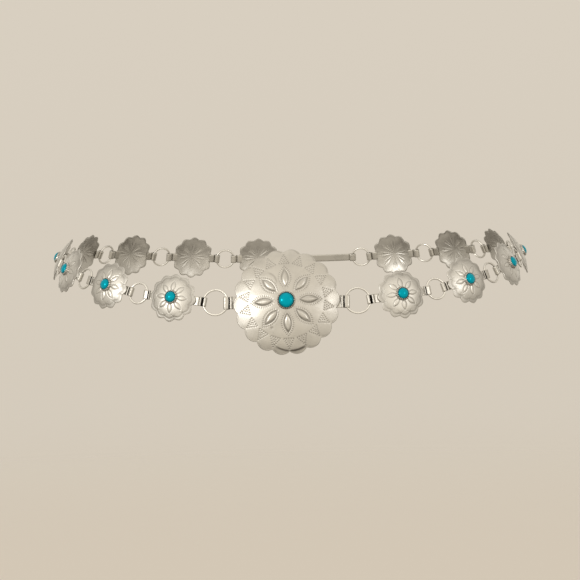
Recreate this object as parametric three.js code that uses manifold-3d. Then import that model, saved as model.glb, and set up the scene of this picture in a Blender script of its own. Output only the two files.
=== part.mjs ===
// A concho belt as it is worn round the hips: one large scalloped concho at the front,
// fifteen small conchos to its sides and round the back, each with a round stone in a bezel,
// joined by plain wire rings that run through a folded strap at either side of each concho.
// A plain hook closes the loop at the back. Millimetres, +Z up, the front faces -Y, and
// "right" and "left" are as seen from the front. The origin is the middle of the loop.

import * as THREE from 'three';
import { mergeVertices } from 'three/addons/utils/BufferGeometryUtils.js';
import Module from 'manifold-3d';

const wasm = await Module();
wasm.setup();

// How the loop lies on the hips: its plan is a squared ellipse, it hangs lowest at the front
// and rides highest at the sides, and every concho leans back with the slope of the hips.
const loopDepthPerWidth = 0.776;
const loopSquareness = 2.19;
const frontToBackRise = 17;
const sideLift = 15.7;
const leanAtFront = THREE.MathUtils.degToRad(12);
const extraLeanAtSides = THREE.MathUtils.degToRad(14);

// How many small conchos sit on each side of the large one.
const smallConchosRight = 7;
const smallConchosLeft = 8;

// The large concho.
const bigRadius = 31.5;
const bigLobes = 18;
const bigLobeDepth = 2;
const bigDomeHeight = 8.8;
const bigSheet = 1.0;
const bigStampTurn = THREE.MathUtils.degToRad(3);
const bigStoneRadius = 4.7;
const bigStoneHeight = 2.7;

// The small conchos.
const smallRadius = 14.6;
const smallLobes = 12;
const smallLobeDepth = 1.3;
const smallDomeHeight = 4.3;
const smallSheet = 0.8;
const smallStoneRadius = 3.45;
const smallStoneHeight = 2.3;

// The raised petals of the large concho.
const petals = 8;
const bezelToPetal = 2.85;
const petalLength = 11;
const petalWidth = 4.6;
const petalRise = 1;

// The bezels.
const bezelWall = 0.4;
const bezelHeight = 1.1;
const stoneGap = 0.25;

// The straps, folded from strip round the ring wire.
const strapSheet = 0.5;
const bigStrapWidth = 7.5;
const smallStrapWidth = 5.4;
const bigFlap = 1.3;
const smallFlap = 0.6;
const smallFlapByBigRing = 2.8;
const flapToRim = 0.5;
const strapUnderPlate = 3;
const wireGap = 0.35;

// The rings.
const wireThickness = 1.3;
const bigRingRadius = 7.5;
const smallRingRadius = 6.2;

// The hook at the back.
const hookSpan = 37;
const hookThickness = 0.9;
const hookWidth = 5;
const hookMouth = 1.7;

// Sections, as shares of the radius, height, width or length that they belong to.
const bigPlateRings = [0.72, 0.42];
const smallPlateRings = [0.6];
const stoneSection = [{ out: 1, up: 0 }, { out: 1, up: 0.4 }, { out: 0.7, up: 0.82 }];
const petalSection = [{ along: -0.25, wide: 0.72 }, { along: 0, wide: 1 }, { along: 0.25, wide: 0.72 }];

// Facets.
const bigPointsPerLobe = 4;
const smallPointsPerLobe = 3;
const stoneSides = 10;
const ringSides = 12;
const wireSides = 5;
const petalSides = 6;
const loopSteps = 3600;

// Finishes.
const metalColour = 0xcfcbc2;
const stoneColour = 0x12969a;

function silverMetal() {
  return new THREE.MeshStandardMaterial({ color: metalColour, roughness: 0.3, metalness: 1 });
}

function turquoise() {
  return new THREE.MeshStandardMaterial({ color: stoneColour, roughness: 0.35, metalness: 0 });
}

// A closed geometry as a solid that can be joined to others. Triangles that shrink to a line
// on a lathe's axis are left out.
function solidOf(geometry) {
  const bare = geometry.clone();
  bare.deleteAttribute('normal');
  bare.deleteAttribute('uv');
  const welded = mergeVertices(bare, 1e-4);
  const corners = welded.index.array;
  const kept = [];
  for (let i = 0; i < corners.length; i += 3) {
    const [a, b, c] = corners.slice(i, i + 3);
    if (a !== b && b !== c && c !== a) {
      kept.push(a, b, c);
    }
  }
  const vertProperties = welded.attributes.position.array;
  return new wasm.Manifold(new wasm.Mesh({ numProp: 3, vertProperties, triVerts: new Uint32Array(kept) }));
}

function geometryOf(solid) {
  const mesh = solid.getMesh();
  const geometry = new THREE.BufferGeometry();
  geometry.setAttribute('position', new THREE.BufferAttribute(mesh.vertProperties, 3));
  geometry.setIndex(new THREE.BufferAttribute(mesh.triVerts, 1));
  geometry.computeVertexNormals();
  return geometry;
}

// A profile of [distance from the axis, height] turned about +Z, with a point on the +X axis
// when firstAngle is 0.
function turned(profile, sides, firstAngle = 0) {
  const points = profile.map(([out, up]) => new THREE.Vector2(out, up));
  return new THREE.LatheGeometry(points, sides, Math.PI / 2 + firstAngle).rotateX(Math.PI / 2);
}

// A side view in X and Z, given as a shape, made as wide as said along Y and centred on it.
function widened(sideView, width) {
  const geometry = new THREE.ExtrudeGeometry(sideView, { depth: width, bevelEnabled: false });
  return geometry.rotateX(Math.PI / 2).translate(0, width / 2, 0);
}

// The height of a concho's front at a distance from its middle: a shallow round dome.
function frontOf({ radius, domeHeight, sheet }, out) {
  return sheet + (domeHeight - sheet) * (1 - (out / radius) ** 2);
}

function bezelFootOf(kind) {
  return kind.stoneRadius + stoneGap + bezelWall;
}

// The domed plate of a concho with its bezel, hollow at the back, its rim cut into round lobes.
// Inside the rim every second spoke folds onto its neighbour, so the dome has half as many
// facets as the rim.
function plate(kind) {
  const { radius, lobes, lobeDepth, domeHeight, sheet, rings } = kind;
  const bezelInside = kind.stoneRadius + stoneGap;
  const bezelFoot = bezelFootOf(kind);
  const profile = [
    [0, domeHeight - sheet],
    ...rings.map((share) => [share * radius, frontOf(kind, share * radius) - sheet]).reverse(),
    [radius, 0],
    [radius, sheet],
    ...rings.map((share) => [share * radius, frontOf(kind, share * radius)]),
    [bezelFoot, frontOf(kind, bezelFoot)],
    [bezelInside, domeHeight + bezelHeight],
    [bezelInside, domeHeight],
    [0, domeHeight],
  ];
  const geometry = turned(profile, lobes * kind.pointsPerLobe, Math.PI / lobes);
  const places = geometry.attributes.position;
  for (let i = 0; i < places.count; i += 1) {
    const out = profile[i % profile.length][0];
    const spoke = Math.floor(i / profile.length);
    if (out === radius) {
      const angle = Math.atan2(places.getY(i), places.getX(i));
      const bulge = Math.abs(Math.cos(lobes * angle / 2));
      const scalloped = 1 - lobeDepth / radius * (1 - bulge);
      places.setXY(i, places.getX(i) * scalloped, places.getY(i) * scalloped);
    } else if (spoke % 2 === 1) {
      places.setXY(i, places.getX(i - profile.length), places.getY(i - profile.length));
    }
  }
  return solidOf(geometry.rotateZ(kind.turn));
}

// A low-domed round stone, its flat back a small gap above the floor of its bezel.
function stone({ domeHeight, stoneRadius, stoneHeight }) {
  const seat = domeHeight + stoneGap;
  const side = stoneSection.map(({ out, up }) => [out * stoneRadius, seat + up * stoneHeight]);
  return turned([[0, seat], ...side, [0, seat + stoneHeight]], stoneSides);
}

// A pointed petal lying on the dome of the large concho, along +X before it is turned.
function petal(angle) {
  const middle = bezelFootOf(bigKind) + bezelToPetal + petalLength / 2;
  const slope = 2 * (bigDomeHeight - bigSheet) * middle / bigRadius ** 2;
  const side = petalSection.map(({ along, wide }) => [wide * petalWidth / 2, along * petalLength]);
  const spindle = turned([[0, -petalLength / 2], ...side, [0, petalLength / 2]], petalSides);
  spindle.rotateY(Math.PI / 2);
  spindle.scale(1, 1, 2 * petalRise / petalWidth);
  spindle.rotateY(Math.atan(slope));
  spindle.translate(middle, 0, frontOf(bigKind, middle));
  return solidOf(spindle.rotateZ(angle + bigStampTurn));
}

// The slot that a folded strip leaves for a ring's wire, as X and Z in a side view. The wire
// crosses its middle at wireSeat and bows on towards the ring's middle at the strip's edges.
function slotFor(wireSeat, ringRadius, width) {
  const innerRadius = ringRadius - wireThickness / 2;
  const bow = ringRadius - Math.sqrt(innerRadius ** 2 - (width / 2) ** 2);
  return {
    near: wireSeat - wireThickness / 2 - wireGap,
    far: wireSeat + bow + wireGap,
    half: wireThickness / 2 + wireGap,
  };
}

function outline(points) {
  return points.map(([x, z]) => new THREE.Vector2(x, z));
}

// A strap in side view: a strip from under the plate's rim that goes round the wire and folds
// back on its own front, ending as a short flap just outside the rim.
function strap(plateRadius, wireSeat, ringRadius, width) {
  const slot = slotFor(wireSeat, ringRadius, width);
  const top = slot.half + strapSheet;
  const near = slot.near - strapSheet;
  const far = slot.far + strapSheet;
  const half = strapSheet / 2;
  const shape = new THREE.Shape(outline([
    [plateRadius - strapUnderPlate, -half], [near, -half], [near + strapSheet, -top],
    [far, -top], [far, slot.half], [far - strapSheet, top],
    [near + strapSheet, top], [near, half + strapSheet], [plateRadius + flapToRim, half + strapSheet],
    [plateRadius + flapToRim, half], [plateRadius - strapUnderPlate, half],
  ]));
  shape.holes.push(new THREE.Path(outline([
    [slot.near, -slot.half], [slot.near, slot.half], [slot.far, slot.half], [slot.far, -slot.half],
  ])));
  return widened(shape, width);
}

// The hook at the back in side view: a closed loop at its left end, and at its right end a
// crook that is open at the back.
function hook() {
  const slot = slotFor(hookSpan / 2, smallRingRadius, hookWidth);
  const top = slot.half + hookThickness;
  const near = slot.near - hookThickness;
  const far = slot.far + hookThickness;
  const half = hookThickness / 2;
  const tip = slot.near + hookMouth;
  const shape = new THREE.Shape(outline([
    [-near, -half], [near, -half], [slot.near, -half], [slot.near, slot.half], [slot.far, slot.half],
    [slot.far, -slot.half], [tip, -slot.half], [tip, -top], [far - half, -top], [far, half - top],
    [far, top - half], [far - half, top], [slot.near, top], [near, half],
    [-near, half], [-slot.near, top], [half - far, top], [-far, top - half], [-far, half - top],
    [half - far, -top], [-slot.near, -top],
  ]));
  shape.holes.push(new THREE.Path(outline([
    [-slot.far, -slot.half], [-slot.far, slot.half], [-slot.near, slot.half], [-slot.near, -slot.half],
  ])));
  return widened(shape, hookWidth);
}

function ring(ringRadius) {
  return new THREE.TorusGeometry(ringRadius, wireThickness / 2, wireSides, ringSides);
}

// The metal of a concho in its own frame: its rim lies in X and Y, its straps along X, and its
// dome faces +Z. The right strap carries the ring whose size and seat are given first.
function conchoMetal(kind, rightLink, leftLink, relief = []) {
  const straps = [
    strap(kind.radius, rightLink.seat, rightLink.ringRadius, kind.strapWidth),
    strap(kind.radius, leftLink.seat, leftLink.ringRadius, kind.strapWidth).rotateZ(Math.PI),
  ];
  const parts = [...straps.map(solidOf), ...relief];
  return geometryOf(parts.reduce((whole, next) => whole.add(next), plate(kind)));
}

const bigKind = {
  radius: bigRadius, lobes: bigLobes, lobeDepth: bigLobeDepth, domeHeight: bigDomeHeight, sheet: bigSheet,
  pointsPerLobe: bigPointsPerLobe, rings: bigPlateRings,
  turn: bigStampTurn, stoneRadius: bigStoneRadius, stoneHeight: bigStoneHeight, strapWidth: bigStrapWidth,
};

const smallKind = {
  radius: smallRadius, lobes: smallLobes, lobeDepth: smallLobeDepth, domeHeight: smallDomeHeight,
  sheet: smallSheet, pointsPerLobe: smallPointsPerLobe, rings: smallPlateRings,
  turn: 0, stoneRadius: smallStoneRadius, stoneHeight: smallStoneHeight, strapWidth: smallStrapWidth,
};

// Where a ring's wire crosses the straps, from the middle of each piece.
const rimToWire = (flap) => flapToRim + flap + strapSheet + wireGap + wireThickness / 2;
const bigToBigRing = { seat: bigRadius + rimToWire(bigFlap), ringRadius: bigRingRadius };
const smallToBigRing = { seat: smallRadius + rimToWire(smallFlapByBigRing), ringRadius: bigRingRadius };
const smallToSmallRing = { seat: smallRadius + rimToWire(smallFlap), ringRadius: smallRingRadius };
const hookToSmallRing = { seat: hookSpan / 2, ringRadius: smallRingRadius };

// The pieces in order round the loop, from the front to the right, round the back and on to
// the front again. Each names its link before it and its link after it.
function piecesInOrder() {
  const innerLink = (i) => (i === 1 ? smallToBigRing : smallToSmallRing);
  const pieces = [{ name: 'big', before: bigToBigRing, after: bigToBigRing }];
  for (let i = 1; i <= smallConchosRight; i += 1) {
    pieces.push({ name: `right_${i}`, before: innerLink(i), after: smallToSmallRing });
  }
  pieces.push({ name: 'back_hook', before: hookToSmallRing, after: hookToSmallRing });
  for (let i = smallConchosLeft; i >= 1; i -= 1) {
    pieces.push({ name: `left_${i}`, before: smallToSmallRing, after: innerLink(i) });
  }
  return pieces;
}

// The loop's line for a given half width, as points with their distance along it. The plan is
// a squared ellipse and the height a cosine from front to back plus a lift at the sides.
function loopLine(halfWidth) {
  const power = 2 / loopSquareness;
  const halfDepth = halfWidth * loopDepthPerWidth;
  const points = [];
  let along = 0;
  for (let i = 0; i <= loopSteps; i += 1) {
    const turn = 2 * Math.PI * i / loopSteps;
    const across = Math.sin(turn);
    const forward = Math.cos(turn);
    const place = new THREE.Vector3(
      halfWidth * Math.sign(across) * Math.abs(across) ** power,
      -halfDepth * Math.sign(forward) * Math.abs(forward) ** power,
      -frontToBackRise / 2 * forward + sideLift * across * across,
    );
    along += i === 0 ? 0 : place.distanceTo(points[i - 1].place);
    points.push({ place, along });
  }
  return points;
}

// The point at a distance along the loop, which starts again after one round.
function pointAt(line, distance) {
  const length = line[line.length - 1].along;
  const wrapped = ((distance % length) + length) % length;
  let low = 0;
  let high = line.length - 1;
  while (high - low > 1) {
    const middle = (low + high) >> 1;
    if (line[middle].along <= wrapped) {
      low = middle;
    } else {
      high = middle;
    }
  }
  const share = (wrapped - line[low].along) / (line[high].along - line[low].along);
  return line[low].place.clone().lerp(line[high].place, share);
}

// A piece's frame between the two points where the rings beside it are centred: X along it,
// Z out from the body and leaning back with it.
function frameBetween(piece, start, finish) {
  const along = finish.clone().sub(start).normalize();
  const place = start.clone().addScaledVector(along, piece.before.seat + piece.before.ringRadius);
  const level = new THREE.Vector3(along.y, -along.x, 0).normalize();
  const lean = leanAtFront + extraLeanAtSides * level.x ** 2;
  const out = level.multiplyScalar(Math.cos(lean)).add(new THREE.Vector3(0, 0, Math.sin(lean)));
  out.addScaledVector(along, -out.dot(along)).normalize();
  return { place, along, out };
}

// How much of the loop a piece takes up, from ring centre to ring centre.
function reachOf(piece) {
  return piece.before.seat + piece.before.ringRadius + piece.after.seat + piece.after.ringRadius;
}

function seatAfter(piece, frame) {
  return frame.place.clone().addScaledVector(frame.along, piece.after.seat);
}

function seatBefore(piece, frame) {
  return frame.place.clone().addScaledVector(frame.along, -piece.before.seat);
}

// Halves a range until it holds the value where a rising measure passes zero.
function whereZero(measure, low, high) {
  let from = low;
  let to = high;
  for (let i = 0; i < 50; i += 1) {
    const middle = (from + to) / 2;
    if (measure(middle) < 0) {
      from = middle;
    } else {
      to = middle;
    }
  }
  return (from + to) / 2;
}

// Walks round the loop from the large concho, which sits astride its front, with each piece
// a straight step between two points of the line. The slack is what is left of the line.
function walk(halfWidth, pieces) {
  const line = loopLine(halfWidth);
  const bigReach = reachOf(pieces[0]);
  const pastBig = (at) => pointAt(line, at).distanceTo(pointAt(line, -at)) - bigReach;
  const halfOfBig = whereZero(pastBig, 0, bigReach);
  const frames = [frameBetween(pieces[0], pointAt(line, -halfOfBig), pointAt(line, halfOfBig))];
  let distance = halfOfBig;
  for (const piece of pieces.slice(1)) {
    const start = pointAt(line, distance);
    const reach = reachOf(piece);
    const pastPiece = (at) => pointAt(line, at).distanceTo(start) - reach;
    distance = whereZero(pastPiece, distance, distance + 2 * reach);
    frames.push(frameBetween(piece, start, pointAt(line, distance)));
  }
  const length = line[line.length - 1].along;
  return { frames, slack: length - halfOfBig - distance };
}

function groupAt(place, along, out) {
  const up = out.clone().cross(along);
  const group = new THREE.Group();
  group.applyMatrix4(new THREE.Matrix4().makeBasis(along, up, out).setPosition(place));
  return group;
}

function named(name, geometry, material) {
  const mesh = new THREE.Mesh(geometry, material);
  mesh.name = name;
  return mesh;
}

// A ring between two pieces: centred between their seats, flat against the body.
function ringBetween(name, piece, frame, nextPiece, nextFrame) {
  const from = seatAfter(piece, frame);
  const to = seatBefore(nextPiece, nextFrame);
  const along = to.clone().sub(from).normalize();
  const out = frame.out.clone().add(nextFrame.out);
  out.addScaledVector(along, -out.dot(along)).normalize();
  const group = groupAt(from.lerp(to, 0.5), along, out);
  group.add(named(name, ring(piece.after.ringRadius), silverMetal()));
  return group;
}

// Of two small neighbours on the right the ring takes the first one's name, and on the left
// the second one's, so that ring 1 lies beyond small concho 1 on either side.
function ringName(piece, nextPiece) {
  if (piece.name === 'big') {
    return 'big_ring_right';
  }
  if (nextPiece.name === 'big') {
    return 'big_ring_left';
  }
  return `small_ring_${piece.name.startsWith('right') ? piece.name : nextPiece.name}`;
}

function pieceGroup(piece, frame) {
  const group = groupAt(frame.place, frame.along, frame.out);
  if (piece.name === 'back_hook') {
    group.add(named('back_hook', hook(), silverMetal()));
    return group;
  }
  const big = piece.name === 'big';
  const kind = big ? bigKind : smallKind;
  const relief = big ? Array.from({ length: petals }, (_, i) => petal(2 * Math.PI * i / petals)) : [];
  const metalName = big ? 'big_concho' : `small_concho_${piece.name}`;
  const stoneName = big ? 'big_stone' : `small_stone_${piece.name}`;
  group.add(named(metalName, conchoMetal(kind, piece.after, piece.before, relief), silverMetal()));
  group.add(named(stoneName, stone(kind), turquoise()));
  return group;
}

// The half width at which the chain just closes lies between these shares of that of a circle.
const pieces = piecesInOrder();
const circleRadius = pieces.reduce((sum, piece) => sum + reachOf(piece), 0) / (2 * Math.PI);
const narrowest = 0.8;
const widest = 1.5;
const slackAt = (half) => walk(half, pieces).slack;
const halfWidth = whereZero(slackAt, narrowest * circleRadius, widest * circleRadius);
const { frames } = walk(halfWidth, pieces);

const belt = new THREE.Group();
pieces.forEach((piece, i) => {
  const next = (i + 1) % pieces.length;
  belt.add(pieceGroup(piece, frames[i]));
  belt.add(ringBetween(ringName(piece, pieces[next]), piece, frames[i], pieces[next], frames[next]));
});

export default belt;
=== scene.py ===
import bpy
import numpy as np
from mathutils import Matrix


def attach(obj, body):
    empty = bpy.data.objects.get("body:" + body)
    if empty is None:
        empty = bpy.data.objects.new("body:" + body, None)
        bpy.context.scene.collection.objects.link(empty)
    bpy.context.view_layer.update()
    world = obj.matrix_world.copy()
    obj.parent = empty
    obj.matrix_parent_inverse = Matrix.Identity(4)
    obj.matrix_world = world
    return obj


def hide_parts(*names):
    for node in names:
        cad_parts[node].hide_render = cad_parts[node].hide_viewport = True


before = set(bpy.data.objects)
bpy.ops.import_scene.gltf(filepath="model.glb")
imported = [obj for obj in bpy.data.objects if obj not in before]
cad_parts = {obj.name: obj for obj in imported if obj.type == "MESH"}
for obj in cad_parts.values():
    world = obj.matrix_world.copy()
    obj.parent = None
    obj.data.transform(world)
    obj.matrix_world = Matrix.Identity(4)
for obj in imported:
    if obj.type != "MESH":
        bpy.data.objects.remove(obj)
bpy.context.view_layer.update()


# The camera stands where the photograph was taken from. Its place was found by fitting the
# places of nine stones and six rings in the picture.
camera_distance = 1275.7
camera_turn = 1.20
camera_rise = 3.08
camera_roll = 0.945
camera_aim = np.array([-0.22, 0.0, -6.60])
focal_pixels = 1970.4
picture_pixels = 580
sensor_width = 36.0


def unit(vectors):
    """Vectors divided by their lengths."""
    return vectors / np.linalg.norm(vectors, axis=-1, keepdims=True)


def toward(turn, rise):
    """The direction that lies turn degrees to the right of the front and rise degrees up."""
    turn, rise = np.radians([turn, rise])
    return np.array([np.sin(turn) * np.cos(rise), -np.cos(turn) * np.cos(rise), np.sin(rise)])


camera_place = camera_distance * toward(camera_turn, camera_rise)
camera_ahead = unit(camera_aim - camera_place)
level_right = unit(np.cross(camera_ahead, [0.0, 0.0, 1.0]))
level_top = np.cross(level_right, camera_ahead)
roll = np.radians(camera_roll)
camera_matrix = np.eye(4)
camera_matrix[:3, 0] = level_right * np.cos(roll) - level_top * np.sin(roll)
camera_matrix[:3, 1] = level_top * np.cos(roll) + level_right * np.sin(roll)
camera_matrix[:3, 2] = -camera_ahead
camera_matrix[:3, 3] = camera_place / 1000
camera = bpy.data.objects.new("camera", bpy.data.cameras.new("camera"))
camera.data.sensor_width = sensor_width
camera.data.lens = sensor_width * focal_pixels / picture_pixels
camera.matrix_world = Matrix(camera_matrix)
bpy.context.scene.collection.objects.link(camera)
bpy.context.scene.camera = camera


# The course of the chain. Each concho's own frame, X along the chain, Y up and Z out from the
# body, is read from its packed stone, and the hook's is laid between its two neighbours. A
# seat is how far the wire of a ring lies from the middle of the piece that holds it.
big_dome_height = 8.8
small_dome_height = 4.3
stone_gap = 0.25
big_seat = 34.8
small_seat_by_big_ring = 19.4
small_seat = 17.2
hook_seat = 18.5
big_ring_radius = 7.5
small_ring_radius = 6.2
right_conchos = [f"right_{i}" for i in range(1, 8)]
left_conchos = [f"left_{i}" for i in range(8, 0, -1)]
small_conchos = right_conchos + left_conchos
conchos = ["big", *small_conchos]


def stone_node(concho):
    return "big_stone" if concho == "big" else f"small_stone_{concho}"


def packed_corners(node):
    """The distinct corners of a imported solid, in millimetres."""
    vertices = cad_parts[node].data.vertices
    places = np.empty(3 * len(vertices), np.float32)
    vertices.foreach_get("co", places)
    return np.unique(np.round(places.reshape(-1, 3).astype(float) * 1000, 3), axis=0)


def concho_frame(corners, chain_way, seat_height):
    """Place and axes of a concho. Its axis is the way in which the stone's corners spread
    least. The base's ten corners lie evenly round it, and X is the way to the one of them
    that is nearest to chain_way."""
    middle = corners.mean(axis=0)
    _, _, spread = np.linalg.svd(corners - middle)
    out = spread[2] * np.sign(spread[2] @ (middle * [1, 1, 0]))
    heights = (corners - middle) @ out
    base = corners[heights < heights.min() + 0.01]
    base_middle = base.mean(axis=0)
    along = unit(base[np.argmax((base - base_middle) @ chain_way)] - base_middle)
    return base_middle - out * seat_height, np.array([along, np.cross(out, along), out])


stone_corners = {concho: packed_corners(stone_node(concho)) for concho in conchos}
frames = {}
for i, concho in enumerate(conchos):
    ahead = stone_corners[conchos[(i + 1) % len(conchos)]].mean(axis=0)
    behind = stone_corners[conchos[i - 1]].mean(axis=0)
    dome_height = big_dome_height if concho == "big" else small_dome_height
    frames[concho] = concho_frame(
        stone_corners[concho], unit(ahead - behind), dome_height + stone_gap
    )


def beyond(piece, distance):
    """The point at a distance along a piece's X from its middle."""
    place, axes = frames[piece]
    return place + distance * axes[0]


def flat_against(along, *neighbours):
    """Axes with X along, and Z as near as can be to that of the neighbours."""
    out = sum(frames[piece][1][2] for piece in neighbours)
    out = unit(out - (out @ along) * along)
    return np.array([along, np.cross(out, along), out])


hook_start = beyond(right_conchos[-1], small_seat + small_ring_radius)
hook_finish = beyond(left_conchos[0], -small_seat - small_ring_radius)
frames["hook"] = (
    (hook_start + hook_finish) / 2,
    flat_against(unit(hook_finish - hook_start), right_conchos[-1], left_conchos[0]),
)


# The large concho: one plate of silver-tone sheet, domed, its rim cut into eighteen round
# lobes. Each lobe is puffed from the back, eight petals are raised round the stone and
# outlined with punch marks, and a triangle of marks is struck between each two lobes.
big_radius = 31.5
big_sheet = 1.0
big_lobes = 18
big_lobe_arc = 6.6
big_stamp_turn = np.radians(3)
big_columns = 720
big_swelling = 0.05
big_crease = 22.2
big_crease_depth = 0.04
big_crease_half_width = 0.25
big_crease_half_length = 3.4
puff_middle = 27.0
puff_inner_reach = 4.8
puff_outer_reach = 5.6
puff_half_width = 4.75
puff_rise = 0.11
big_petals = 8
big_petal_middle = 13.5
big_petal_half_length = 5.5
big_petal_half_width = 2.1
big_petal_flank = 1.9
big_petal_rise = 0.75
big_groove_depth = 0.18
big_groove_half_width = 0.26
punch_depth = 0.2
mark_line_shift = 0.15
mark_line_past_tip = 1.6
mark_line_past_side = 1.45
triangle_base = big_crease + 0.5
triangle_half_width = 2.8
triangle_tip = 27.9
fold_depth = 0.26
step_depth = 0.2
dimple_depth = 0.14
big_unevenness = 0.07


def grid_shell(grid, start=None, finish=None):
    """Corners and faces of a surface given as rows of points round an axis. Each row closes on
    itself. A start and a finish point close it at its ends, and without them the last row
    joins the first one. It is turned over if the volume that it holds comes out negative."""
    rows, columns = grid.shape[:2]
    row = np.arange(rows - 1 if start is not None else rows)[:, None]
    column = np.arange(columns)[None]
    below = (row + 1) % rows * columns
    beside = (column + 1) % columns
    here = row * columns
    quads = np.stack([here + column, here + beside, below + beside, below + column], axis=-1)
    quads = quads.reshape(-1, 4)
    points = grid.reshape(-1, 3)
    triangles = np.empty((0, 3), int)
    if start is not None:
        first = np.arange(columns)
        after = (first + 1) % columns
        last = first + (rows - 1) * columns
        points = np.vstack([points, start, finish])
        poles = np.full(columns, len(points) - 2), np.full(columns, len(points) - 1)
        triangles = np.vstack([
            np.column_stack([poles[0], after, first]),
            np.column_stack([poles[1], last, after + (rows - 1) * columns]),
        ])
    fans = np.vstack([quads[:, [0, 1, 2]], quads[:, [0, 2, 3]], triangles])
    a, b, c = (points[fans[:, i]] for i in range(3))
    if np.einsum("ij,ij->", a, np.cross(b, c)) < 0:
        quads = quads[:, ::-1]
        triangles = triangles[:, ::-1]
    return points, quads, triangles


def joined(shells):
    """Several shells, each with its share of tarnish and painted shade per corner, as one set
    of corners and faces.
    """
    starts = np.cumsum([0] + [len(shell[0]) for shell in shells[:-1]])
    return (
        np.vstack([shell[0] for shell in shells]),
        np.vstack([shell[1] + start for shell, start in zip(shells, starts)]),
        np.vstack([shell[2] + start for shell, start in zip(shells, starts)]),
        np.concatenate([shell[3] for shell in shells]),
    )


def new_piece(name, shell, piece_frame, material):
    """An object whose mesh is a shell of corners, faces and a share of tarnish and painted shade
    per corner, turned and moved from a piece's own frame into the belt's: the place plus each
    axis times its share."""
    points, quads, triangles, tarnish_and_shade = shell
    place, axes = piece_frame
    points = (place + points @ axes) / 1000
    mesh = bpy.data.meshes.new(name)
    mesh.vertices.add(len(points))
    mesh.vertices.foreach_set("co", points.astype(np.float32).ravel())
    loops = np.concatenate([quads.ravel(), triangles.ravel()])
    sizes = np.repeat([4, 3], [len(quads), len(triangles)])
    mesh.loops.add(len(loops))
    mesh.loops.foreach_set("vertex_index", loops)
    mesh.polygons.add(len(sizes))
    mesh.polygons.foreach_set("loop_start", np.concatenate([[0], np.cumsum(sizes)[:-1]]))
    mesh.polygons.foreach_set("use_smooth", np.ones(len(sizes), bool))
    mesh.update(calc_edges=True)
    # Each corner's share of darkening: real patina, as in the punch marks, and painted shade.
    layer = mesh.attributes.new("tarnish_and_shade", "FLOAT", "POINT")
    layer.data.foreach_set("value", tarnish_and_shade.astype(np.float32))
    mesh.materials.append(material)
    piece = bpy.data.objects.new(name, mesh)
    bpy.context.scene.collection.objects.link(piece)
    return piece


def eased(share):
    """A share from 0 to 1 that starts and ends level."""
    share = np.clip(share, 0, 1)
    return share * share * (3 - 2 * share)


def bell(distance, half_width):
    """A share that falls from 1 at no distance: e to minus the square of distance over width."""
    return np.exp(-((distance / half_width) ** 2))


def folded(angle, sector):
    """An angle brought into the sector round zero that repeats round the circle."""
    return (angle + sector / 2) % sector - sector / 2


def in_sector(out, angle, count):
    """Distances along and across the middle line of the nearest of count equal sectors."""
    turn = folded(angle, 2 * np.pi / count)
    return out * np.cos(turn), np.abs(out * np.sin(turn))


def dome(out, radius, sheet, top, crease, swelling):
    """Height of a parabola from the rim to the top, with a slight swelling inside a crease."""
    inside = np.clip(out / crease, 0, 1)
    return sheet + (top - sheet) * (1 - (out / radius) ** 2) + swelling * (inside**2 - inside**6)


def petal(along, across, middle, half_length, half_width):
    """Share of a petal's half length, and distance from its outline, two parabolas that meet
    in points. The distance is that across the petal, shortened by the outline's slant."""
    share = (along - middle) / half_length
    slant = np.hypot(1, 2 * half_width / half_length * share)
    return share, (across - half_width * (1 - share**2)) / slant


def lobed_rim(angle, radius, lobes, arc):
    """Distance of a lobed rim from the middle: the outer side of a circle of radius arc round
    each lobe's centre, which lies arc inside the rim's reach."""
    centre = radius - arc
    turn = folded(angle, 2 * np.pi / lobes)
    return centre * np.cos(turn) + np.sqrt(arc**2 - (centre * np.sin(turn)) ** 2)


def big_rim(angles):
    return lobed_rim(angles - big_stamp_turn, big_radius, big_lobes, big_lobe_arc)


def puff(along, across):
    """Share of a lobe's puff, 1 at its middle and 0 from its edge: one minus the square of the
    distance from the middle, counted in radii of an ellipse that is squarer outwards."""
    outwards = along > puff_middle
    power = np.where(outwards, 2.6, 2.2)
    reach = np.where(outwards, puff_outer_reach, puff_inner_reach)
    spread = (across / puff_half_width) ** power + (np.abs(along - puff_middle) / reach) ** power
    return np.clip(1 - spread ** (2 / power), 0, 1)


def punch_marks(curve, pitch):
    """Marks at an even pitch along a curve, each with the direction across the curve."""
    reach = np.concatenate([[0], np.cumsum(np.linalg.norm(np.diff(curve, axis=0), axis=1))])
    at = np.linspace(0, reach[-1], max(int(round(reach[-1] / pitch)), 1) + 1)
    spots = np.column_stack([np.interp(at, reach, curve[:, k]) for k in (0, 1)])
    ahead = unit(np.gradient(spots, axis=0))
    return np.column_stack([spots, -ahead[:, 1], ahead[:, 0]])


def punched(along, across, marks, length, width):
    """Depth from 0 to 1 of punch marks: the deepest bell of the given half length across the
    curve that they follow and half width along it."""
    depth = np.zeros_like(along)
    for mark_along, mark_across, way_along, way_across in marks:
        da = along - mark_along
        dc = across - mark_across
        far = (da * way_along + dc * way_across) / length
        wide = (dc * way_along - da * way_across) / width
        depth = np.maximum(depth, np.exp(-(far**2) - wide**2))
    return depth


def unevenness(x, y, phase, wave, height):
    """The slight waviness of hand-worked sheet: a sum of five level waves."""
    ways = np.array([0.3, 1.7, 2.9, 4.1, 5.3]) + phase
    lengths = wave * np.array([1.0, 0.62, 0.81, 0.45, 1.3])
    waves = [
        np.sin(2 * np.pi * (x * np.cos(way) + y * np.sin(way)) / length + 3 * way)
        for way, length in zip(ways, lengths)
    ]
    return height * sum(waves) / 5


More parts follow.
